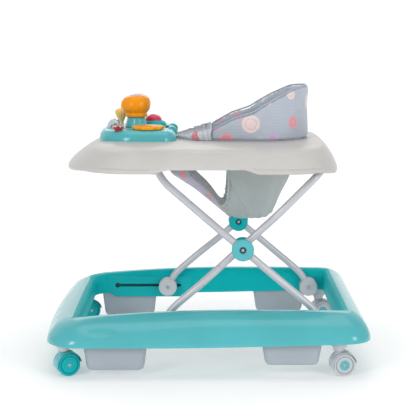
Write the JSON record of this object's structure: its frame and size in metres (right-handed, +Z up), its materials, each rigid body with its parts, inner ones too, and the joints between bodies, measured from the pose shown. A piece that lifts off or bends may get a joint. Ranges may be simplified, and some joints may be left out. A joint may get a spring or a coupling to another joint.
{
  "type": "baby walker",
  "caption": "Wheeled baby walker: moulded base ring on swivel casters, scissor tubes raising a play tray, sling seat with a padded backrest and a toy bar.",
  "frame": {"origin": "on the floor, below the middle of the base", "axes": "-X is the front, where the toy bar is; +X is the rear, behind the backrest; +Z is up; Y runs across, with -Y the left side"},
  "size_m": [0.7, 0.6, 0.607],
  "materials": {
    "teal_plastic": "glossy moulding",
    "stopper_plastic": "fine matte",
    "light_grey_plastic": "satin moulding",
    "painted_tube": "satin powder coat",
    "steel": "zinc plated",
    "tray_plastic": "glossy moulding",
    "seat_fabric": "woven print, blue-grey with pastel spots",
    "sling_fabric": "plain woven nylon",
    "board_plastic": "plain sheet",
    "clear_plastic": "clear moulding",
    "red_plastic": "glossy moulding",
    "orange_plastic": "glossy moulding",
    "yellow_plastic": "glossy moulding",
    "pale_yellow_plastic": "glossy, slightly translucent",
    "crimson_plastic": "glossy moulding"
  },
  "bodies": {
    "base": {"base_frame": "teal_plastic", "slide_track_left": "teal_plastic", "slide_track_right": "teal_plastic", "stopper_front_left": "stopper_plastic", "stopper_rear_left": "stopper_plastic", "stopper_front_right": "stopper_plastic", "stopper_rear_right": "stopper_plastic", "caster_collar_front_left": "light_grey_plastic", "caster_collar_front_right": "light_grey_plastic", "caster_collar_rear_left": "light_grey_plastic", "caster_collar_rear_right": "light_grey_plastic"},
    "front_lift": {"front_lift_tube": "painted_tube", "pivot_foot_left": "light_grey_plastic", "pivot_foot_right": "light_grey_plastic", "pivot_pin_left": "steel", "pivot_pin_right": "steel", "hub_cap_outer_left": "teal_plastic", "hub_cap_outer_right": "teal_plastic", "hub_rivet_left": "steel", "hub_rivet_right": "steel"},
    "rear_lift": {"rear_lift_tube": "painted_tube", "slide_foot_left": "light_grey_plastic", "slide_foot_right": "light_grey_plastic", "slide_pin_left": "steel", "slide_pin_right": "steel", "hub_cap_inner_left": "teal_plastic", "hub_cap_inner_right": "teal_plastic"},
    "play_tray": {"tray": "tray_plastic", "tray_rail_left": "tray_plastic", "tray_rail_right": "tray_plastic", "tray_bracket_left": "tray_plastic", "tray_bracket_right": "tray_plastic", "latch_rack": "tray_plastic", "seat_sling": "sling_fabric", "seat_hoop": "light_grey_plastic", "backrest_pad": "seat_fabric", "backrest_board": "board_plastic", "toy_base": "teal_plastic", "toy_neck": "teal_plastic", "rattle_dome": "clear_plastic", "rattle_bead": "red_plastic", "button_platform": "teal_plastic", "button_spring": "steel"},
    "catch_carriage": {"latch_carriage": "light_grey_plastic", "latch_spring": "steel"},
    "catch": {"latch_catch": "red_plastic"},
    "caster_front_left": {"caster_hood_front_left": "teal_plastic"},
    "caster_front_right": {"caster_hood_front_right": "teal_plastic"},
    "caster_rear_left": {"caster_hood_rear_left": "light_grey_plastic"},
    "caster_rear_right": {"caster_hood_rear_right": "light_grey_plastic"},
    "wheels_front_left": {"caster_wheels_front_left": "teal_plastic"},
    "wheels_front_right": {"caster_wheels_front_right": "teal_plastic"},
    "wheels_rear_left": {"caster_wheels_rear_left": "light_grey_plastic"},
    "wheels_rear_right": {"caster_wheels_rear_right": "light_grey_plastic"},
    "mushroom": {"mushroom_head": "orange_plastic"},
    "flower": {"flower_disc": "yellow_plastic"},
    "bell": {"bell_toy": "pale_yellow_plastic"},
    "roller": {"roller_toy": "teal_plastic"},
    "large_button": {"large_button": "crimson_plastic"},
    "small_button": {"small_button": "red_plastic"}
  },
  "joints": [
    {"name": "fold", "type": "hinge", "parent": "base", "child": "front_lift", "pos_m": [0.253, 0, 0.096], "axis": [0, -1, 0], "range_deg": [0, 30.5]},
    {"name": "scissor", "type": "hinge", "parent": "front_lift", "child": "rear_lift", "pos_m": [0.079, 0, 0.262], "axis": [0, 1, 0], "range_deg": [0, 61]},
    {"name": "tray_level", "type": "hinge", "parent": "rear_lift", "child": "play_tray", "pos_m": [0.267, 0, 0.45], "axis": [0, -1, 0], "range_deg": [0, 30.5]},
    {"name": "catch_level", "type": "hinge", "parent": "front_lift", "child": "catch_carriage", "pos_m": [-0.109, 0, 0.45], "axis": [0, 1, 0], "range_deg": [0, 30.5]},
    {"name": "catch_slide", "type": "slide", "parent": "catch_carriage", "child": "catch", "axis": [0, 0, 1], "range_m": [0, 0.0055], "stiffness_N_per_m": 400, "deforming": ["latch_spring"]},
    {"name": "swivel_front_left", "type": "hinge", "parent": "base", "child": "caster_front_left", "pos_m": [-0.303, -0.254, 0.06], "axis": [0, 0, 1], "continuous": true},
    {"name": "swivel_front_right", "type": "hinge", "parent": "base", "child": "caster_front_right", "pos_m": [-0.303, 0.254, 0.06], "axis": [0, 0, 1], "continuous": true},
    {"name": "swivel_rear_left", "type": "hinge", "parent": "base", "child": "caster_rear_left", "pos_m": [0.283, -0.254, 0.06], "axis": [0, 0, 1], "continuous": true},
    {"name": "swivel_rear_right", "type": "hinge", "parent": "base", "child": "caster_rear_right", "pos_m": [0.283, 0.254, 0.06], "axis": [0, 0, 1], "continuous": true},
    {"name": "roll_front_left", "type": "hinge", "parent": "caster_front_left", "child": "wheels_front_left", "pos_m": [-0.29478, -0.25034, 0.0245], "axis": [-0.4067, 0.9135, 0], "continuous": true},
    {"name": "roll_front_right", "type": "hinge", "parent": "caster_front_right", "child": "wheels_front_right", "pos_m": [-0.29478, 0.25766, 0.0245], "axis": [-0.4067, 0.9135, 0], "continuous": true},
    {"name": "roll_rear_left", "type": "hinge", "parent": "caster_rear_left", "child": "wheels_rear_left", "pos_m": [0.29186, -0.25244, 0.0245], "axis": [-0.1736, 0.9848, 0], "continuous": true},
    {"name": "roll_rear_right", "type": "hinge", "parent": "caster_rear_right", "child": "wheels_rear_right", "pos_m": [0.29186, 0.25556, 0.0245], "axis": [-0.1736, 0.9848, 0], "continuous": true},
    {"name": "mushroom_turn", "type": "hinge", "parent": "play_tray", "child": "mushroom", "pos_m": [-0.158, 0, 0.53], "axis": [0, 0, 1], "continuous": true},
    {"name": "flower_turn", "type": "hinge", "parent": "play_tray", "child": "flower", "pos_m": [-0.128, -0.078, 0.51], "axis": [0, 0, 1], "continuous": true},
    {"name": "bell_turn", "type": "hinge", "parent": "play_tray", "child": "bell", "pos_m": [-0.196, 0.05, 0.51], "axis": [0, 0, 1], "continuous": true},
    {"name": "roller_turn", "type": "hinge", "parent": "play_tray", "child": "roller", "pos_m": [-0.078, 0, 0.501], "axis": [0, 1, 0], "continuous": true},
    {"name": "large_button_press", "type": "slide", "parent": "play_tray", "child": "large_button", "axis": [0, 0, -1], "range_m": [0, 0.003], "stiffness_N_per_m": 600, "deforming": ["button_spring"]},
    {"name": "small_button_press", "type": "slide", "parent": "play_tray", "child": "small_button", "axis": [0, 0, -1], "range_m": [0, 0.002], "stiffness_N_per_m": 500}
  ],
  "couplings": [
    {"joint": "scissor", "follows": "fold", "ratio": 2},
    {"joint": "tray_level", "follows": "fold", "ratio": 1},
    {"joint": "catch_level", "follows": "fold", "ratio": 1}
  ]
}
